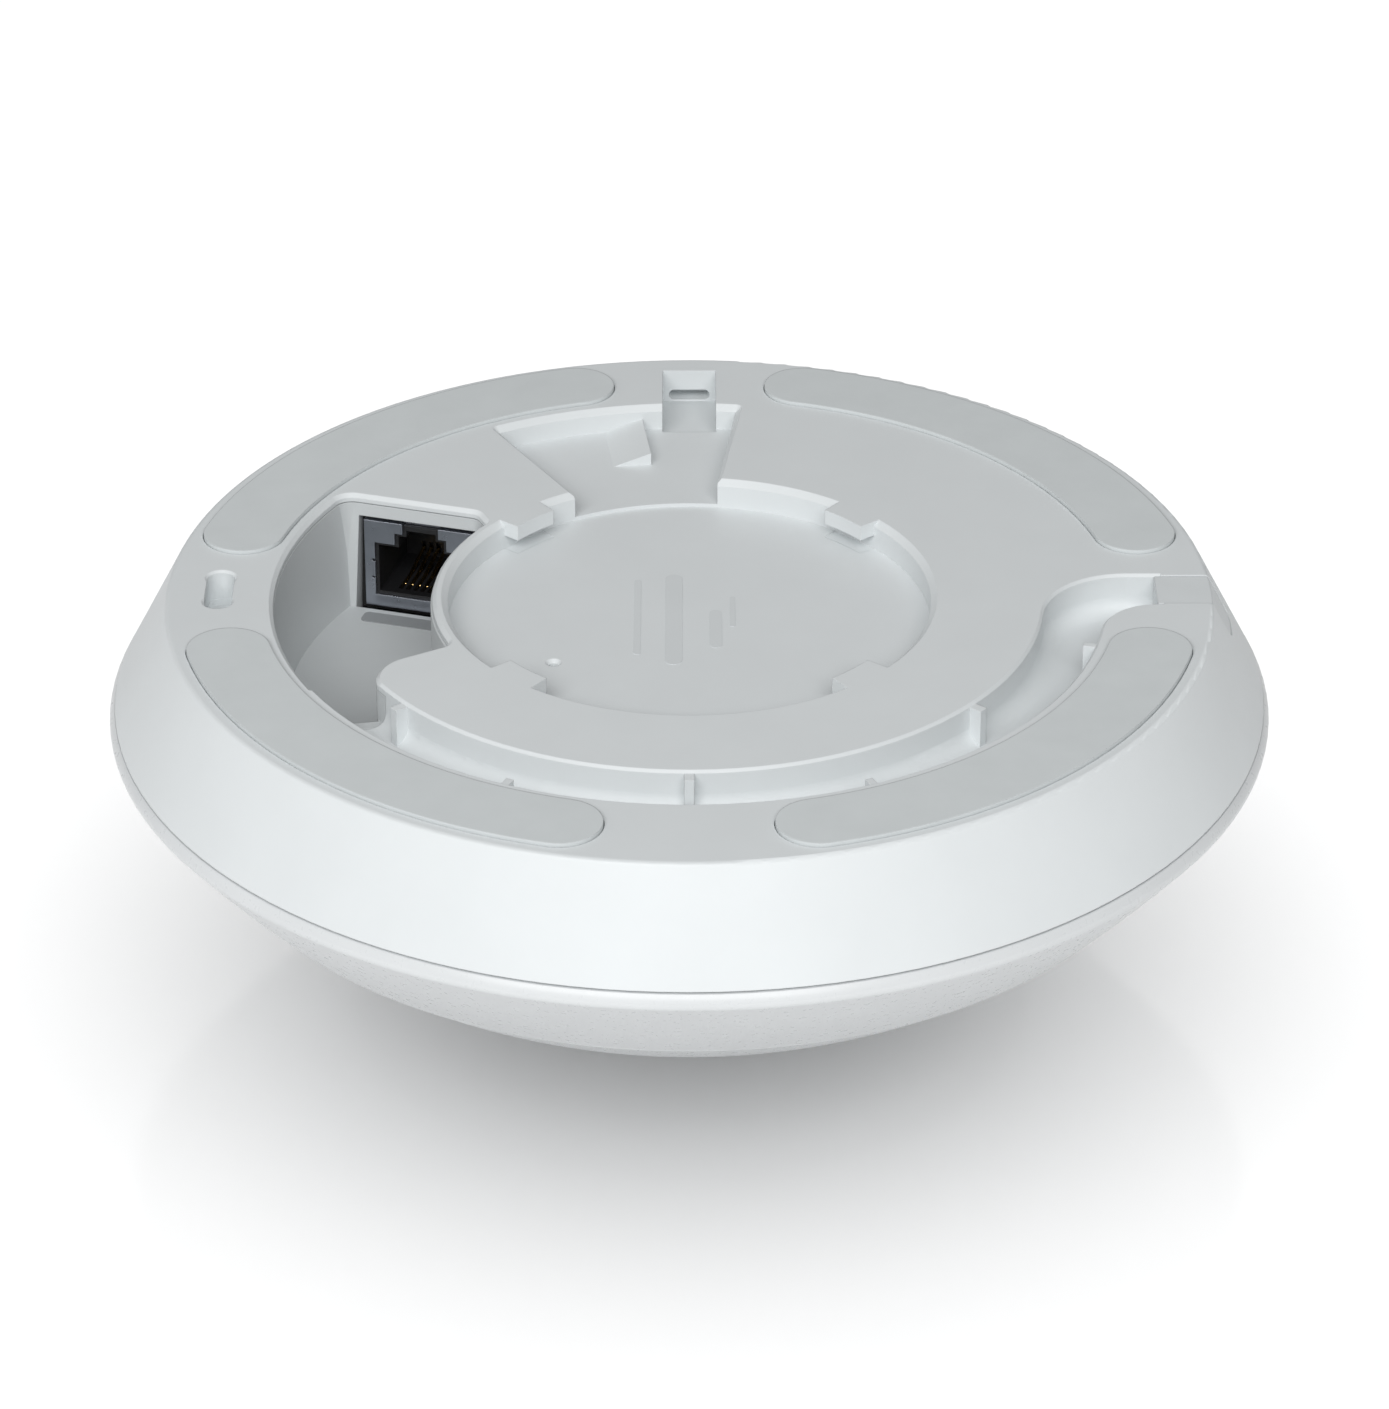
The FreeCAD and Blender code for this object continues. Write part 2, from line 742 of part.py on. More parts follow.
def cable_exit_plug():
    """Fills the notch in the flank until a cable has to leave sideways."""
    shift = 0.1
    form = cone("plug_form", flank_radius(8.0) - shift, flank_radius(0.0) - shift, 8.0, z=-8.0)
    top = cylinder("plug_top", 80.0, 8.0, z=-8.0 - S.plug_drop)
    return common("cable_exit_plug", exit_notch("plug_blank", S.plug_fit), form, top)


def jack_tray():
    """The liner of the jack pocket: floor and walls, with the jack's window in one of them."""
    wall = S.pocket_wall
    case = pocket_body("tray_case", wall, S.pocket_depth + wall, -S.tray_top)
    well = cut("tray_well_leaning", pocket_body("tray_well", None, S.pocket_depth, OVER), wall_lean())
    mouth = prism("tray_mouth", channel_outline("tray_mouth_plan"), S.channel_depth, grow=0.05)
    ring_side = cylinder("tray_ring_side", S.recess_radius + S.recess_wall + 0.1, 8.0,
                         z=-S.recess_depth - S.recess_wall - 0.4)
    return cut("jack_tray", case, well, mouth, ring_side, *jack_window())


def upright_wedge(name, low, top, deep_low, deep_top, high):
    """A block whose left, right and front sides lean; low and top are (left, right) along the wall."""
    wedge = doc.addObject("Part::Wedge", name)
    bind(wedge, Xmin=low[0], Xmax=low[1], X2min=top[0], X2max=top[1], Ymin=0, Ymax=high,
         Zmin=deep_low[0], Zmax=deep_low[1], Z2min=deep_top[0], Z2max=deep_top[1])
    wedge.Placement = Placement(Vector(0, 0, 0), Rotation(Vector(1, 0, 0), 90))
    return group(f"{name}_upright", wedge)


def wall_lean():
    """What the jack wall gains towards the floor, so that it leans into the pocket."""
    high = S.pocket_depth - S.tray_top
    lean = upright_wedge("wall_lean", (-4.0, 24.0), (-4.0, 24.0), (-1.0, S.wall_lean), (-1.0, 0.0), high)
    return jack_place(lean, z=-S.pocket_depth)


def jack_window():
    """The jack's window in the tray, and the gap that carries on below the floor line."""
    high = S.pocket_depth - 3.0
    opening = upright_wedge("tray_window", (0.5, 17.9), (1.0, 17.5), (-3.0, 1.2), (-3.0, 1.2), high)
    gap = box("tray_window_gap", 17.4, S.wall_lean + 3.0, 2.0)
    return [jack_place(opening, z=-S.pocket_depth),
            jack_place(gap, 0.5, -S.wall_lean, -S.pocket_depth - 1.9)]


def port_mark():
    """A thin bar set on the tray's floor below the jack, its corners rounded."""
    long, wide, thick, corner = 13.2, 2.5, 0.12, 0.7
    bars = [box("port_mark_bar", long, wide - corner * 2, thick, 0, corner),
            box("port_mark_middle", long - corner * 2, wide, thick, corner)]
    spots = itertools.product((corner, long - corner), (corner, wide - corner))
    corners = [cylinder(f"port_mark_corner{i}", corner, thick, x, y) for i, (x, y) in enumerate(spots)]
    return jack_place(fuse("port_mark", *bars, *corners), 2.25, -4.45, -S.pocket_depth)


JACK_LEFT = 1.7  # from the jack wall's left end to the jack


def jack_piece(thing, z=0.0):
    return jack_place(thing, JACK_LEFT, S.jack_set_back, z)


def jack_opening(name, deep, grow=0.0, top=None):
    """The plug's way in: a wide slot, a step and the latch notch, from the jack's front."""
    middle = S.jack_width / 2
    top = -S.jack_top + OVER if top is None else dim(top)
    levels = ((6.45, -14.55, dim(-6.7)), (3.62, -9.1, dim(-5.0)), (2.5, -9.1, top))
    bars = []
    for i, (half, low, high) in enumerate(levels):
        base = dim(low) - grow
        lift = high - base if i == 2 else high + grow - base
        bars.append(box(f"{name}_level{i}", 2 * (half + grow), dim(deep) + 1, lift, middle - half - grow,
                        -1.0, base))
    return fuse(name, *bars)


def jack_shield():
    """The jack's sheet-metal can, open at the back, with the plug opening in its front."""
    wide, deep, high = S.jack_width, S.jack_deep, S.jack_high
    sheet = S.jack_sheet
    low = -S.jack_top - high
    can = box("shield_can", wide, deep, high, 0, 0, low)
    inside = box("shield_inside", wide - sheet * 2, deep, high - sheet * 2, sheet, sheet, low + sheet)
    top_notch = box("shield_notch", 5.0, 1.2, 3.0, wide / 2 - 2.5, -0.5, -S.jack_top - 1.8)
    slots = [box(f"shield_slot{i}", 1.0, 1.0, 0.3, wide / 2 - 6.9, -0.5, z)
             for i, z in enumerate((-9.5, -12.1))]
    opening = jack_opening("shield_opening", 1.0)
    sheets = cut("shield_sheets", can, inside, opening, top_notch, *slots)
    tab = box("shield_tab", 0.3, 0.5, 2.3, wide / 2 - 6.7, -0.15, -11.8)
    return jack_piece(fuse("jack_shield", sheets, tab))


def jack_gasket():
    """The foam frame between the tray and the main board that closes the gap round the jack."""
    wide, high = S.jack_width, S.jack_high
    low = -S.jack_top - high
    frame = box("gasket_frame", wide + 2.3, 0.4, high + 2.6, -1.7, 1.86, low - 1.4)
    hole = box("gasket_hole", wide + 0.1, 3.0, high + 0.1, -0.05, 0.0, low - 0.05)
    return jack_piece(cut("jack_gasket", frame, hole))


def jack_insulator():
    """The jack's moulded body: the cavity that guides the plug, and grooves that hold the contacts."""
    wide, deep, high = S.jack_width, S.jack_deep, S.jack_high
    sheet = S.jack_sheet + 0.05
    low = -S.jack_top - high
    core = box("insulator_block", wide - sheet * 2, deep - sheet - 0.4, high - sheet * 2, sheet, sheet,
               low + sheet)
    cavity = jack_opening("insulator_cavity", 11.6, grow=-S.jack_guide_gap, top=-S.jack_top - sheet - 0.7)
    grooves = [box(f"insulator_groove{i}", 0.6, 8.4, 1.3, contact_x(i) - 0.3, 1.6, -15.35)
               for i in range(CONTACTS)]
    slots = [box(f"insulator_slot{i}", 0.6, 1.8, 1.4, contact_x(i) - 0.3, 10.6, -13.5)
             for i in range(CONTACTS)]
    return jack_piece(cut("jack_insulator", core, cavity, *grooves, *slots))


CONTACTS = 8


def contact_x(number):
    return S.jack_width / 2 + S.contact_pitch * (number - (CONTACTS - 1) / 2)


def jack_contacts():
    """Eight sprung wires, each rising from its groove near the mouth to its slot in the back wall."""
    wires = []
    for i in range(CONTACTS):
        wire = rod(f"contact{i}", 0.23, 8.2, -78)
        nose = doc.addObject("Part::Sphere", f"contact_nose{i}")
        bind(nose, Radius=0.23)
        tail = rod(f"contact_tail{i}", 0.23, 0.7, 180)
        bent = fuse(f"contact_bent{i}", wire, nose, tail)
        wires.append(place(group(f"contact_set{i}", bent), contact_x(i), 3.8, -14.5))
    return jack_piece(group("jack_contacts", *wires))


# ------------------------------------------------------------ front housing

def front_shell():
    """The rim, lower flank and ledge, with the tongue that goes up inside the back housing."""
    skin = S.wall
    seam = -(S.seam_depth + S.seam_gap)
    slope_x = (S.rim_low_radius - S.front_edge_radius) / 17.06
    slope_z = (S.front_edge_depth - S.rim_low_depth) / 17.06
    inner_top = (S.rim_low_radius - skin * slope_z, skin * slope_x - S.rim_low_depth)
    inner_low = S.front_edge_radius - skin * slope_z
    ledge, ledge_top, web_low = -28.2, -26.6, -16.4
    web_radius = inner_low + (inner_top[0] - inner_low) * (web_low - ledge_top) / (inner_top[1] - ledge_top)
    return revolved("front_shell", [
        (S.seam_radius + 0.05, seam),
        (S.rim_radius, -(S.rim_depth - 0.3), -3.2),
        (S.rim_low_radius, -S.rim_low_depth, -1.2),
        (S.front_edge_radius, -S.front_edge_depth, -190.0),
        (S.front_edge_radius - 0.45, -S.front_edge_depth - 0.3, -0.45),
        (62.75, -S.front_edge_depth - 0.3),
        (62.75, ledge),
        (58.8, ledge),
        (58.8, ledge_top),
        (inner_low, ledge_top),
        (web_radius, web_low),
        (68.3, web_low),
        (68.3, -11.4),
        (69.8, -11.4),
        (69.8, seam - 0.2),
        (71.5, seam - 0.2),
        (71.5, seam),
    ])


def front_housing():
    """The front half of the case, with four screw posts on its ledge."""
    posts = [cylinder(f"front_post{i}", S.boss_radius, 20.7, x, y, -26.8)
             for i, (x, y) in enumerate(screw_spots())]
    holes = [cylinder(f"front_post_hole{i}", S.screw_hole, 10.0, x, y, -15.6)
             for i, (x, y) in enumerate(screw_spots())]
    return cut("front_housing", fuse("front_solid", front_shell(), *posts), *holes)


def housing_seal():
    """The soft ring squeezed between the two halves of the case."""
    seam = S.seam_depth + S.seam_gap + 0.2
    return revolved("housing_seal", [
        (69.95, -seam),
        (71.1, -seam),
        (71.1, 0.9 - seam),
        (70.7, 1.2 - seam),
        (69.95, 1.2 - seam),
    ])


def housing_screws():
    """Four screws under the pads, with cross recesses in their heads."""
    return group("housing_screws", *[
        screw(f"housing_screw{i}", S.screw_head, S.screw_head_high, S.screw_shank, 11.0, x, y, -3.0)
        for i, (x, y) in enumerate(screw_spots())
    ])


def screw(name, head, head_high, shank, long, x, y, seat, up=1):
    """A pan-head screw with a cross recess; its head stands above the seat, or below if up is -1."""
    body = fuse(f"{name}_body",
                cylinder(f"{name}_head", head, head_high),
                cylinder(f"{name}_shank", shank, long, z=-dim(long)))
    bars = [block(f"{name}_bar{i}", a, b, 1.0, 0, 0, head_high - 0.7)
            for i, (a, b) in enumerate(((head * 1.1, 0.5), (0.5, head * 1.1)))]
    whole = cut(f"{name}_cut", body, *bars)
    if up < 0:
        whole.Placement = Placement(Vector(0, 0, 0), Rotation(Vector(1, 0, 0), 180))
        whole = group(f"{name}_turned", whole)
    return place(whole, x, y, seat)


def front_cover():
    """The convex ring-shaped cover round the light ring, with four microphone holes."""
    outer = dim(62.6)
    cover = revolved("cover_shell", [
        (outer, -29.5),
        (S.cover_inner, -41.95, -S.cover_curve),
        (S.cover_inner, -39.7),
        (60.3, -28.35, 107.0),
        (outer, -28.35),
    ])
    holes = [cylinder(f"mic_hole{i}", S.mic_hole, 12.0, *polar(S.mic_radius, angle), -38.0)
             for i, angle in enumerate(MIC_ANGLES)]
    return cut("front_cover", cover, *holes)


MIC_ANGLES = (0, 90, 180, 270)


def dome_depth(radius):
    """Depth of the front dome's surface at a radius."""
    curve = S.dome_curve
    return S.apex_depth - curve + root(curve * curve - dim(radius) * dim(radius))


def light_ring():
    """The frosted light guide between the cover and the cap, with a flange behind them."""
    outer, inner = S.ring_outer, S.ring_inner
    front = -(dome_depth(S.ring_outer) - S.ring_set_back)
    return revolved("light_ring", [
        (outer, front + 0.2),
        (outer, -38.9),
        (45.8, -38.9),
        (45.8, -37.7),
        (40.6, -37.7),
        (40.6, -38.9),
        (inner, -38.9),
        (inner, front),
        (outer - 0.3, front + 0.05),
    ])


def centre_cap():
    """The white cap inside the light ring, with a collar behind it that holds the window."""
    curve = S.dome_curve
    bore = S.window_radius + 0.12
    edge = S.cap_radius
    inner_curve = curve - S.cap_thick
    inside = 41.0
    inside_depth = S.apex_depth - curve + root(inner_curve * inner_curve - inside * inside)
    collar = dim(13.2)
    collar_depth = S.apex_depth - curve + root(inner_curve * inner_curve - collar * collar)
    return revolved("centre_cap", [
        (bore, -dome_depth(bore)),
        (edge - 0.35, -dome_depth(edge - 0.35), curve),
        (edge, -dome_depth(edge) + 0.35, 0.5),
        (edge, -inside_depth),
        (inside, -inside_depth),
        (collar, -collar_depth, -inner_curve),
        (collar, -47.4),
        (9.4, -47.4),
        (9.4, -48.9),
        (bore, -48.9),
    ])


def lens_window():
    """The dark window over the lens, flush with the cap."""
    radius = S.window_radius
    flat = S.apex_depth - S.window_thick - 0.3
    return revolved("lens_window", [
        (0, -S.apex_depth),
        (radius, -dome_depth(radius), S.dome_curve),
        (radius, -flat),
        (0, -flat),
    ])


def window_seal():
    return ring("window_seal", 10.9, 9.6, 0.5, z=-49.4)


def inner_frame():
    """The frame on the front housing's ledge that carries the light board."""
    frame = revolved("frame_shell", [
        (14.5, -34.0),
        (47.0, -34.0),
        (54.2, -28.0),
        (54.2, -26.58),
        (60.9, -26.58),
        (60.9, -25.4),
        (53.6, -25.4),
        (47.0, -32.6),
        (14.5, -32.6),
    ])
    clearances = [cylinder(f"frame_gap{i}", S.boss_radius + 0.4, 6.0, x, y, -29.0)
                  for i, (x, y) in enumerate(screw_spots())]
    way = block("frame_way", 10.0, 5.0, 4.0, 0, -24.0, -35.0)
    return cut("inner_frame", frame, *clearances, way)


# ----------------------------------------------------- boards and what is on them

def main_board():
    """The main board, cut away round the jack tray."""
    board = cylinder("board_disc", S.board_radius, S.board_thick, z=-S.board_top - S.board_thick)
    gap_plan = outline("board_gap_plan", [
        (-27.9, 22.15),
        (-56.0, 30.55),
        (*polar(dim(64.0), 213.0), 64.0),
        polar(dim(31.0), 213.0),
        (*polar(dim(31.0), 144.0), -31.0),
    ])
    gap = prism("board_gap", gap_plan, 30.0, grow=2.1)
    holes = board_screw_ways("main_board_way", -S.board_top - 3.0, 6.0)
    return cut("main_board", board, gap, *holes)


def board_screw_ways(name, z, high, radius=1.1):
    return [cylinder(f"{name}{i}", radius, high, x, y, z) for i, (x, y) in enumerate(BOARD_SPOTS)]


def on_board(name, long, wide, high, x, y, gap=0.02):
    """A component on the board's back side."""
    return block(name, long, wide, high, x, y, gap - S.board_top)


def under_board(name, long, wide, high, x, y, gap=0.02):
    """A component on the board's front side."""
    return block(name, long, wide, high, x, y, -S.board_top - S.board_thick - gap - high)


def poe_capacitors():
    cans = []
    for i, (x, y) in enumerate(((42.0, -8.0), (42.0, 4.0), (32.5, -2.0))):
        can = cylinder(f"capacitor{i}", 4.0, 7.0, x, y, 0.02 - S.board_top)
        groove = ring(f"capacitor_groove{i}", 5.0, 3.75, 0.6, 1.2)
        cans.append(cut(f"capacitor_cut{i}", can, place(groove, x, y, -S.board_top)))
    return group("poe_capacitors", *cans)


def poe_transformer():
    """A ferrite core round a wound bobbin."""
    core = on_board("transformer_core", 15.0, 13.0, 8.0, 30.0, 30.0)
    windows = [block(f"transformer_window{i}", 3.2, 14.0, 5.2, x, 30.0, -S.board_top + 1.4)
               for i, x in enumerate((25.9, 34.1))]
    return cut("poe_transformer", core, *windows)


def transformer_winding():
    coils = [block(f"winding{i}", 3.0, 14.6, 4.9, x, 30.0, -S.board_top + 1.55)
             for i, x in enumerate((25.9, 34.1))]
    return group("transformer_winding", *coils)


def power_inductors():
    return group("power_inductors", *[
        on_board(f"inductor{i}", 7.0, 7.0, 4.0, x, y) for i, (x, y) in enumerate(((8.0, 22.0), (18.0, 17.0)))
    ])


def network_magnetics():
    return on_board("network_magnetics", 12.0, 7.5, 5.0, -9.0, 30.0)


def processor():
    return under_board("processor", 15.0, 15.0, 1.3, 4.0, -6.0)


def memory_chips():
    return group("memory_chips", *[
        under_board(f"memory{i}", 8.0, 12.0, 1.0, x, -6.0) for i, x in enumerate((19.0, -11.0))
    ])


def thermal_pad():
    low = -S.spreader_top + 0.02
    high = S.spreader_top - S.board_top - S.board_thick - 1.3 - 0.06
    return block("thermal_pad", 13.5, 13.5, high, 4.0, -6.0, low)


def heat_spreader():
    """A cast plate on legs round the board's screws."""
    plate = cylinder("spreader_plate", S.spreader_radius + 6.0, S.spreader_thick,
                     z=-S.spreader_top - S.spreader_thick)
    leg_high = S.spreader_top - S.board_top - S.board_thick - 0.02
    legs = board_screw_ways("spreader_leg", -S.spreader_top, leg_high, 3.0)
    ways = board_screw_ways("spreader_way", -S.spreader_top - 5.0, 12.0)
    slots = [
        block("flex_way", 10.0, 6.5, 6.0, 0, 20.5, -25.0),
        block("led_way", 8.0, 5.0, 6.0, 0, -24.0, -25.0),
    ]
    return cut("heat_spreader", fuse("spreader_solid", plate, *legs), *ways, *slots)


def board_screws():
    seat = -S.spreader_top - S.spreader_thick
    return group("board_screws", *[
        screw(f"board_screw{i}", 1.9, 1.3, 1.05, 11.6, x, y, seat, up=-1)
        for i, (x, y) in enumerate(BOARD_SPOTS)
    ])


# ----------------------------------------------------------- optical module

SENSOR_SPOTS = ((9.8, 9.8), (-9.8, 9.8), (-9.8, -9.8), (9.8, -9.8))


def sensor_spacers():
    high = S.sensor_top - S.spreader_top - S.spreader_thick - 0.02
    return group("sensor_spacers", *[
        cut(f"spacer{i}", cylinder(f"spacer_body{i}", 2.2, high, x, y, -S.sensor_top + 0.01),
            cylinder(f"spacer_hole{i}", 0.9, high + 4, x, y, -S.sensor_top - 1))
        for i, (x, y) in enumerate(SENSOR_SPOTS)
    ])


def sensor_board():
    board = block("sensor_board_blank", 26.0, 26.0, S.sensor_thick, 0, 0, -S.sensor_top - S.sensor_thick)
    holes = [cylinder(f"sensor_hole{i}", 0.95, 4.0, x, y, -S.sensor_top - 3.0)
             for i, (x, y) in enumerate(SENSOR_SPOTS)]
    return cut("sensor_board", board, *holes)


def sensor_screws():
    return group("sensor_screws", *[
        screw(f"sensor_screw{i}", 1.6, 1.1, 0.85, 4.6, x, y, -S.sensor_top - S.sensor_thick, up=-1)
        for i, (x, y) in enumerate(SENSOR_SPOTS)
    ])


def image_sensor():
    return block("image_sensor", 9.6, 9.6, 1.3, 0, 0, -S.sensor_top - S.sensor_thick - 1.32)


def lens_holder():
    """The square foot over the sensor and the threaded tube that takes the barrel."""
    top = -S.sensor_top - S.sensor_thick - 0.02
    foot = block("holder_foot", 15.0, 15.0, 5.0, 0, 0, top - 5.0)
    tube = cylinder("holder_tube", 7.2, 9.0, z=top - 12.5)
    room = block("holder_room", 11.0, 11.0, 2.6, 0, 0, top - 2.4)
    bore = cylinder("holder_bore", 5.7, 30.0, z=top - 28.0)
    return cut("lens_holder", fuse("holder_solid", foot, tube), room, bore)


def lens_barrel():
    """The barrel, narrow where it screws into the holder and wide round the front glass."""
    return revolved("lens_barrel", [
        (3.6, -31.5),
        (5.65, -31.5),
        (5.65, -40.4),
        (8.9, -42.0),
        (8.9, -47.0),
        (7.9, -47.6),
        (7.9, -46.2),
        (6.6, -46.2),
        (6.6, -43.2),
        (3.6, -40.2),
    ])


def front_lens():
    """The bulging front glass of the wide-angle lens."""
    return revolved("front_lens", [
        (0, -49.0),
        (7.8, -46.4, 14.6),
        (7.8, -46.25),
        (6.5, -46.25),
        (6.5, -45.0),
        (0, -45.0),
    ])


def inner_lenses():
    """Two smaller elements down the barrel."""
    return group("inner_lenses", *[
        cylinder(f"inner_lens{i}", 3.55, 2.2, z=z) for i, z in enumerate((-36.0, -39.6))
    ])


def sensor_flex():
    """The ribbon from the sensor board, up through the spreader's slot, to the main board's socket."""
    thick = 0.2
    body = doc.addObject("PartDesign::Body", "sensor_flex")
    sketch = body.newObject("Sketcher::SketchObject", "flex_section")
    sketch.AttachmentSupport = [(plane(body, "YZ_Plane"), "")]
    sketch.MapMode = "FlatFace"
    draw(sketch, [
        (dim(13.1), dim(-26.9)),
        (dim(18.6), dim(-26.9)),
        (dim(20.6), dim(-24.9), 2.0),
        (dim(20.6), dim(-19.6)),
        (dim(21.6), dim(-18.6), -1.0),
        (dim(22.2), dim(-18.6)),
        (dim(22.2), dim(-18.6 + thick)),
        (dim(21.6), dim(-18.6 + thick)),
        (dim(20.6 - thick), dim(-19.6), 1.2),
        (dim(20.6 - thick), dim(-24.9)),
        (dim(18.6), dim(-26.9 + thick), -1.8),
        (dim(13.1), dim(-26.9 + thick)),
    ])
    pad = body.newObject("PartDesign::Pad", "flex_pad")
    pad.Profile = sketch
    bind(pad, Length=8.0)
    body.Tip = pad
    return place(body, x=-4.0)


def flex_sockets():
    """The sockets on the two boards that hold the ribbon's ends."""
    lower = under_board("flex_socket_main", 10.0, 3.6, 1.4, 0, 24.2)
    upper = block("flex_socket_sensor", 10.0, 3.0, 1.0, 0, 11.4, -S.sensor_top + 0.02)
    return group("flex_sockets", lower, upper)


# ------------------------------------------------------- light, sound, reset

LIGHTS = 12


def light_board():
    """The ring-shaped board that lights the ring."""
    board = ring("light_board_ring", 48.0, 37.0, 1.0, z=-35.05)
    return group("light_board", board)


def status_lights():
    chips = []
    for i in range(LIGHTS):
        chip = block(f"light_chip{i}", 2.0, 3.0, 0.7, 43.2, 0, -35.8)
        chips.append(place(group(f"light_chip_set{i}", chip), turn=i * 360.0 / LIGHTS))
    return group("status_lights", *chips)


def light_cable():
    """The short lead from the light board to the main board."""
    return block("light_cable", 5.0, 0.8, 15.9, 0, -24.0, -33.9)


def microphones():
    pieces = []
    for i, angle in enumerate(MIC_ANGLES):
        can = block(f"mic_can{i}", 3.0, 4.0, 1.0, S.mic_radius - 0.3, 0, -29.97)
        port = cylinder(f"mic_port{i}", 0.5, 3.0, S.mic_radius, 0, -31.0)
        pieces.append(place(group(f"mic_set{i}", cut(f"mic{i}", can, port)), turn=angle))
    return group("microphones", *pieces)


def microphone_boards():
    pieces = []
    for i, angle in enumerate(MIC_ANGLES):
        board = block(f"mic_board{i}", 4.0, 7.0, 0.6, S.mic_radius - 0.2, 0, -28.95)
        pieces.append(place(group(f"mic_board_set{i}", board), turn=angle))
    return group("microphone_boards", *pieces)


def reset_switch():
    """The switch on the board, its top open round the button."""
    base = on_board("switch_base", 5.0, 5.0, 2.0, S.pin_x, S.pin_y)
    well = cylinder("switch_well", 1.35, 3.0, S.pin_x, S.pin_y, -15.55)
    return cut("reset_switch", base, well)


def reset_button():
    """The button below the pinhole."""
    stem = cylinder("button_stem", 1.25, 1.5, S.pin_x, S.pin_y, -15.2)
    return group("reset_button", stem)


def all_pieces():
    """Every sub-part, in the order that it would be put together."""
    pads = [mount_pad(number, angle) for number, angle in enumerate(QUARTERS, start=1)]
    return [
        back_housing(), *pads, cable_exit_plug(), jack_tray(), port_mark(),
        jack_gasket(), jack_shield(), jack_insulator(), jack_contacts(),
        front_housing(), housing_seal(), housing_screws(), front_cover(), light_ring(),
        centre_cap(), lens_window(), window_seal(), inner_frame(),
        main_board(), poe_capacitors(), poe_transformer(), transformer_winding(), power_inductors(),
        network_magnetics(), processor(), memory_chips(), thermal_pad(), heat_spreader(), board_screws(),
        sensor_spacers(), sensor_board(), sensor_screws(), image_sensor(), lens_holder(), lens_barrel(),
        front_lens(), inner_lenses(), sensor_flex(), flex_sockets(),
        light_board(), status_lights(), light_cable(), microphones(), microphone_boards(),
        reset_switch(), reset_button(),
    ]


def check(thing):
    """Stop if an object failed to build."""
    if "Invalid" in thing.State or "Error" in thing.State:
        raise RuntimeError(f"{thing.Name} failed: {thing.State}")


def main():
    pieces = all_pieces()
    doc.recompute()
    for thing in doc.Objects:
        check(thing)
    os.makedirs("parts", exist_ok=True)
    for piece in pieces:
        piece.Label = piece.Name
        shape = piece.Shape
        if shape.isNull() or not shape.isValid() or not shape.Solids:
            raise RuntimeError(f"{piece.Name} has no valid solid")
        shape.exportStep(f"parts/{piece.Name}.step")
        print(f"{piece.Name}: {len(shape.Solids)} solid(s), {shape.Volume:.1f} mm3")


main()
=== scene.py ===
"""A ceiling network camera, lying on its front with its back upward, on a plain pale floor.

Lengths are metres, in the row frame: the origin is the centre of the back face, and +Z is up.
"""
import json
import math

import bmesh
import bpy
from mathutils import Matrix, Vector


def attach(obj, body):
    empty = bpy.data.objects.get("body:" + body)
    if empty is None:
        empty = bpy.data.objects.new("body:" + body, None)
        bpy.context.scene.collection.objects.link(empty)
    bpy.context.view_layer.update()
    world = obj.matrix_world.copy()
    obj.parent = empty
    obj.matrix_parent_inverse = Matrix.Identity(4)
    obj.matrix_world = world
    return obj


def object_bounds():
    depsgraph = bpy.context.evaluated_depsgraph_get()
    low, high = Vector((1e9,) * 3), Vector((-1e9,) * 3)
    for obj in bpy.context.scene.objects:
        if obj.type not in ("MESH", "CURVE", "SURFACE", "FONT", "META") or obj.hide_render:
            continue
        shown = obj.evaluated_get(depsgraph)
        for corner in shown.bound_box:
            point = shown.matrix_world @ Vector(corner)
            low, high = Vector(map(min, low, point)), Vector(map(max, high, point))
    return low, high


MM = 0.001
NOISE_LOW, NOISE_HIGH = 0.3, 0.7  # nearly all of a noise texture's values lie between these

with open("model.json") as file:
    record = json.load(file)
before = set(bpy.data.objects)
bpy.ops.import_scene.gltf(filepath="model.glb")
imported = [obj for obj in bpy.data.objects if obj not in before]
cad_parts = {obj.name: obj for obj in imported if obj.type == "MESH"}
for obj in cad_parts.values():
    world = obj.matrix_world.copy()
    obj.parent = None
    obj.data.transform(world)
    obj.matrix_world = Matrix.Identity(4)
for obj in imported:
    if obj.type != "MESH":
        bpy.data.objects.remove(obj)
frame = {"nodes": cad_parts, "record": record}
cad_low, cad_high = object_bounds()
record_slots = {part["node"]: part["material_slot"] for part in frame["record"]["subparts"]}


# ------------------------------------------------------------------ materials

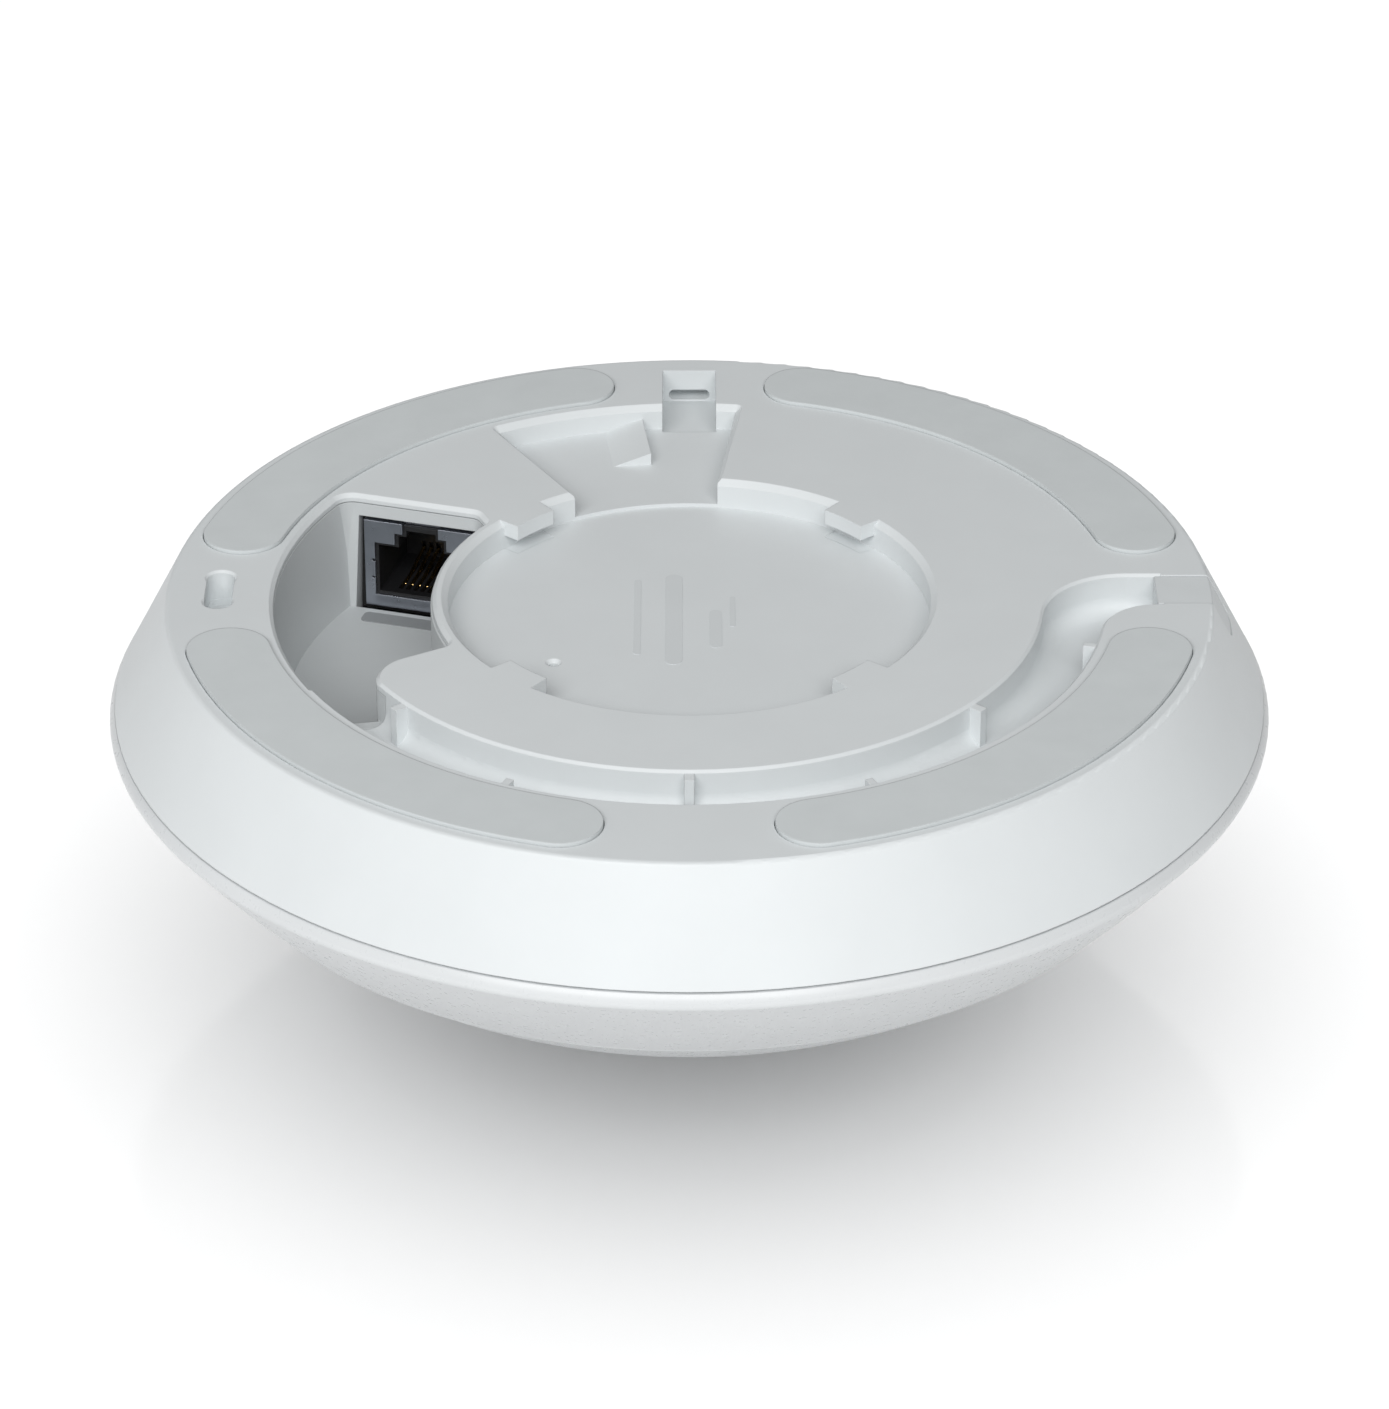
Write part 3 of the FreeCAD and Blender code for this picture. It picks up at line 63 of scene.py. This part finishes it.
class Material:
    """A node material, with short calls for the parts that most of them share."""

    def __init__(self, name):
        self.made = bpy.data.materials.new(name)
        self.made.use_nodes = True
        self.tree = self.made.node_tree
        self.shader = self.tree.nodes["Principled BSDF"]
        self.where = self.add("ShaderNodeTexCoord").outputs["Object"]

    def add(self, kind, **values):
        node = self.tree.nodes.new(kind)
        for key, value in values.items():
            setattr(node, key, value)
        return node

    def link(self, start, end):
        self.tree.links.new(start, end)

    def set(self, **values):
        """Values on the shader's own sockets; underscores stand for spaces."""
        for key, value in values.items():
            self.shader.inputs[key.replace("_", " ")].default_value = value
        return self

    def noise(self, scale, detail=3.0, rough=0.55, stretch=None):
        node = self.add("ShaderNodeTexNoise")
        node.inputs["Scale"].default_value = scale
        node.inputs["Detail"].default_value = detail
        node.inputs["Roughness"].default_value = rough
        where = self.where
        if stretch:
            mapping = self.add("ShaderNodeMapping")
            mapping.inputs["Scale"].default_value = stretch
            self.link(self.where, mapping.inputs["Vector"])
            where = mapping.outputs["Vector"]
        self.link(where, node.inputs["Vector"])
        return node.outputs["Fac"]

    def spread(self, fac, low, high):
        """A number that runs from low to high with fac."""
        node = self.add("ShaderNodeMapRange")
        node.inputs["From Min"].default_value = NOISE_LOW
        node.inputs["From Max"].default_value = NOISE_HIGH
        node.inputs["To Min"].default_value = low
        node.inputs["To Max"].default_value = high
        self.link(fac, node.inputs["Value"])
        return node.outputs["Result"]

    def mottle(self, colour, scale, amount):
        """The base colour, a little lighter and darker from place to place."""
        ramp = self.add("ShaderNodeValToRGB")
        stops = ramp.color_ramp.elements
        stops[0].position, stops[1].position = NOISE_LOW, NOISE_HIGH
        stops[0].color = (*[c * (1 - amount) for c in colour], 1)
        stops[1].color = (*[min(1.0, c * (1 + amount)) for c in colour], 1)
        self.link(self.noise(scale), ramp.inputs["Fac"])
        self.link(ramp.outputs["Color"], self.shader.inputs["Base Color"])
        return self

    def gloss(self, scale, low, high, stretch=None):
        """Roughness that varies between two values."""
        self.link(self.spread(self.noise(scale, stretch=stretch), low, high),
                  self.shader.inputs["Roughness"])
        return self

    def relief(self, heights, edge=None):
        """Fine bumps, each (scale, height in metres, stretch), over edges rounded to a radius."""
        normal = None
        if edge:
            bevel = self.add("ShaderNodeBevel", samples=6)
            bevel.inputs["Radius"].default_value = edge
            normal = bevel.outputs["Normal"]
        for scale, height, stretch in heights:
            bump = self.add("ShaderNodeBump")
            bump.inputs["Strength"].default_value = 1.0
            bump.inputs["Distance"].default_value = height
            self.link(self.noise(scale, stretch=stretch), bump.inputs["Height"])
            if normal:
                self.link(normal, bump.inputs["Normal"])
            normal = bump.outputs["Normal"]
        if normal:
            self.link(normal, self.shader.inputs["Normal"])
        return self


def moulded(name, colour, rough, grain=0.004, edge=0.16, mottle=0.012):
    """Moulded plastic: spark-eroded grain, slight flow marks and softened edges."""
    return (Material(name)
            .mottle(colour, 90, mottle)
            .gloss(1400, rough - 0.04, rough + 0.04)
            .relief([(2600, grain * MM, None), (60, grain * 2 * MM, None)], edge * MM))


def soft(name, colour, rough=0.78):
    """Rubber or foam: matt, with a fine open texture."""
    return (Material(name)
            .mottle(colour, 160, 0.02)
            .gloss(900, rough - 0.05, rough + 0.05)
            .relief([(3400, 0.007 * MM, None)], 0.3 * MM)
            .set(Sheen_Weight=0.08))


def metal(name, colour, low, high, stretch=None, edge=0.08):
    """Bare metal, its gloss varying along the way that it was rolled, drawn or turned."""
    return (Material(name)
            .mottle(colour, 220, 0.05)
            .gloss(700, low, high, stretch)
            .relief([(1500, 0.002 * MM, stretch)], edge * MM)
            .set(Metallic=1.0))


def solder_mask(name, colour):
    """A lacquered board, its glass cloth just showing."""
    return (Material(name)
            .mottle(colour, 700, 0.12)
            .gloss(500, 0.28, 0.42)
            .relief([(1800, 0.004 * MM, (1.0, 0.25, 1.0)), (1800, 0.004 * MM, (0.25, 1.0, 1.0))]))


def clear(name, colour, rough, weight, ior=1.5):
    """Clear or frosted plastic, or glass."""
    return (Material(name)
            .mottle(colour, 40, 0.01)
            .gloss(300, max(0.0, rough - 0.01), rough + 0.01)
            .set(Transmission_Weight=weight, IOR=ior))


ROLLED = (1.0, 0.04, 1.0)  # noise drawn out along Y, as in rolled sheet
WOUND = (1.0, 1.0, 14.0)  # noise pressed together along Z, as in turns of wire

MATERIALS = {
    "housing_white": moulded("housing_white", (0.700, 0.730, 0.740), 0.46),
    "front_white": moulded("front_white", (0.660, 0.680, 0.690), 0.30, grain=0.0015),
    "pad_rubber": soft("pad_rubber", (0.615, 0.648, 0.655)),
    "plug_rubber": soft("plug_rubber", (0.660, 0.690, 0.700), 0.62),
    "tray_grey": moulded("tray_grey", (0.580, 0.605, 0.612), 0.50),
    "mark_grey": moulded("mark_grey", (0.300, 0.315, 0.325), 0.60, edge=0.04),
    "jack_steel": metal("jack_steel", (0.370, 0.390, 0.435), 0.26, 0.40, ROLLED, edge=0.14),
    "black_plastic": moulded("black_plastic", (0.012, 0.012, 0.013), 0.42, edge=0.08),
    "contact_gold": metal("contact_gold", (0.850, 0.580, 0.230), 0.16, 0.26, edge=0.03),
    "ring_frosted": clear("ring_frosted", (0.820, 0.850, 0.880), 0.42, 0.35),
    "window_dark": moulded("window_dark", (0.010, 0.010, 0.013), 0.07, grain=0.0003, edge=0.1)
    .set(Coat_Weight=0.6, Coat_Roughness=0.03),
    "seal_black": soft("seal_black", (0.022, 0.022, 0.023)),
    "screw_steel": metal("screw_steel", (0.560, 0.560, 0.570), 0.22, 0.34),
    "board_green": solder_mask("board_green", (0.012, 0.120, 0.050)),
    "board_black": solder_mask("board_black", (0.014, 0.014, 0.016)),
    "chip_black": moulded("chip_black", (0.020, 0.020, 0.022), 0.55, edge=0.06),
    "can_aluminium": metal("can_aluminium", (0.760, 0.765, 0.775), 0.24, 0.36),
    "ferrite_grey": moulded("ferrite_grey", (0.050, 0.050, 0.055), 0.70, grain=0.010),
    "winding_copper": metal("winding_copper", (0.720, 0.300, 0.130), 0.20, 0.30, WOUND),
    "cast_aluminium": metal("cast_aluminium", (0.580, 0.590, 0.605), 0.42, 0.58),
    "thermal_grey": soft("thermal_grey", (0.250, 0.320, 0.420)),
    "frame_grey": moulded("frame_grey", (0.060, 0.060, 0.065), 0.52),
    "lens_glass": clear("lens_glass", (0.900, 0.950, 1.000), 0.01, 1.0, 1.62),
    "sensor_glass": metal("sensor_glass", (0.120, 0.140, 0.200), 0.04, 0.08),
    "flex_amber": moulded("flex_amber", (0.420, 0.170, 0.020), 0.26, edge=0.03),
    "light_chip": moulded("light_chip", (0.860, 0.780, 0.420), 0.40, edge=0.06),
    "button_white": moulded("button_white", (0.700, 0.700, 0.680), 0.45, edge=0.1),
}


def dress():
    """Each CAD node in the material of its slot in the record."""
    for node, thing in frame["nodes"].items():
        for holder in thing.material_slots:
            holder.material = MATERIALS[record_slots[node]].made


dress()


# --------------------------------------------------------- moulded-in markings

def plate(name, outline, low, high):
    """A thin plate over a flat outline, between two heights."""
    mesh = bmesh.new()
    base = [mesh.verts.new((x, y, low)) for x, y in outline]
    top = [mesh.verts.new((x, y, high)) for x, y in outline]
    mesh.faces.new(reversed(base))
    mesh.faces.new(top)
    for i, corner in enumerate(base):
        j = (i + 1) % len(base)
        mesh.faces.new((corner, base[j], top[j], top[i]))
    data = bpy.data.meshes.new(name)
    mesh.to_mesh(data)
    mesh.free()
    thing = bpy.data.objects.new(name, data)
    bpy.context.scene.collection.objects.link(thing)
    return thing


def pill(x, y, long, wide, steps=8):
    """An outline with round ends, its long way along Y, in metres."""
    half, reach = wide / 2, long / 2 - wide / 2
    points = []
    for i in range(steps + 1):
        turn = math.pi * i / steps
        points.append((x + half * math.cos(turn), y + reach + half * math.sin(turn)))
    for i in range(steps + 1):
        turn = math.pi * (1 + i / steps)
        points.append((x + half * math.cos(turn), y - reach + half * math.sin(turn)))
    return points


RECESS_FLOOR = -4.0 * MM
MARK_HEIGHT = 0.05 * MM
MARKING = moulded("marking_relief", (0.655, 0.684, 0.694), 0.52, edge=0.02)
# Plain bars in place of markings: x, y, length and width in millimetres
BARS = ((-6.7, 0.6, 20.0, 0.9), (-2.0, 0.0, 24.0, 2.2), (3.4, -2.6, 10.0, 1.6), (5.6, 2.0, 8.0, 0.7))


def markings():
    """The bars, standing a little proud of the recess floor."""
    for number, (x, y, long, wide) in enumerate(BARS, start=1):
        outline = pill(x * MM, y * MM, long * MM, wide * MM)
        bar = plate(f"marking_bar_{number}", outline, RECESS_FLOOR, RECESS_FLOOR + MARK_HEIGHT)
        bar.data.materials.append(MARKING.made)
        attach(bar, "camera")


markings()


# ---------------------------------------------------------------------- stage

FLOOR_SIZE = 12.0
FLOOR_SHIFT = 2.0  # more of the floor lies behind the object than in front
FLOOR_GLOW = 0.09
SKY_STRENGTH = 0.272


def floor():
    """A wide glossy white floor that glows faintly, as a light table does."""
    bpy.ops.mesh.primitive_plane_add(size=FLOOR_SIZE, location=(0, FLOOR_SHIFT, cad_low.z))
    thing = bpy.context.object
    thing.name = "floor"
    white = Material("floor_white").mottle((0.93, 0.93, 0.93), 3, 0.003).gloss(30, 0.08, 0.14)
    white.set(Emission_Color=(1, 1, 1, 1), Emission_Strength=FLOOR_GLOW, Specular_IOR_Level=0.35)
    thing.data.materials.append(white.made)
    return thing


def softbox(name, spot, size, power, lit, aim=(0, 0, -0.02)):
    """A soft rectangular light that falls on the lit things only."""
    data = bpy.data.lights.new(name, "AREA")
    data.shape = "RECTANGLE"
    data.size, data.size_y = size
    data.energy = power
    light = bpy.data.objects.new(name, data)
    light.location = spot
    way = Vector(aim) - Vector(spot)
    light.rotation_mode = "QUATERNION"
    light.rotation_quaternion = way.to_track_quat("-Z", "Y")
    bpy.context.scene.collection.objects.link(light)
    receivers = bpy.data.collections.new(f"{name}_receivers")
    for thing in lit:
        receivers.objects.link(thing)
    light.light_linking.receiver_collection = receivers


def studio(ground):
    """Even light from all round, one light above for the floor, and two for the object itself."""
    world = bpy.data.worlds.new("studio")
    world.use_nodes = True
    sky = world.node_tree.nodes["Background"]
    sky.inputs["Color"].default_value = (1, 1, 1, 1)
    sky.inputs["Strength"].default_value = SKY_STRENGTH
    bpy.context.scene.world = world
    pieces = [thing for thing in bpy.context.scene.objects if thing.type == "MESH" and thing != ground]
    softbox("floor_softbox", (0.0, 0.0, 0.95), (4.0, 4.0), 50.0, [ground])
    softbox("front_softbox", (-0.12, -1.28, 1.05), (1.9, 0.8), 26.8, pieces)
    softbox("left_softbox", (-1.5, 0.1, 0.45), (0.9, 0.9), 1.7, pieces)
    bpy.context.scene.view_settings.view_transform = "Standard"


SENSOR_WIDTH = 36.0
LENS = 151.74
VIEWPOINT = (0.0, -0.6707, 0.3662)
VIEW_TURN = (math.radians(60.28), 0.0, -0.001)


def camera():
    """About 29 degrees above the back face, with a long lens."""
    data = bpy.data.cameras.new("camera")
    data.sensor_width = SENSOR_WIDTH
    data.lens = LENS
    data.clip_start, data.clip_end = 0.05, 50.0
    thing = bpy.data.objects.new("camera", data)
    thing.location = VIEWPOINT
    thing.rotation_euler = VIEW_TURN
    bpy.context.scene.collection.objects.link(thing)
    bpy.context.scene.camera = thing


studio(floor())
camera()
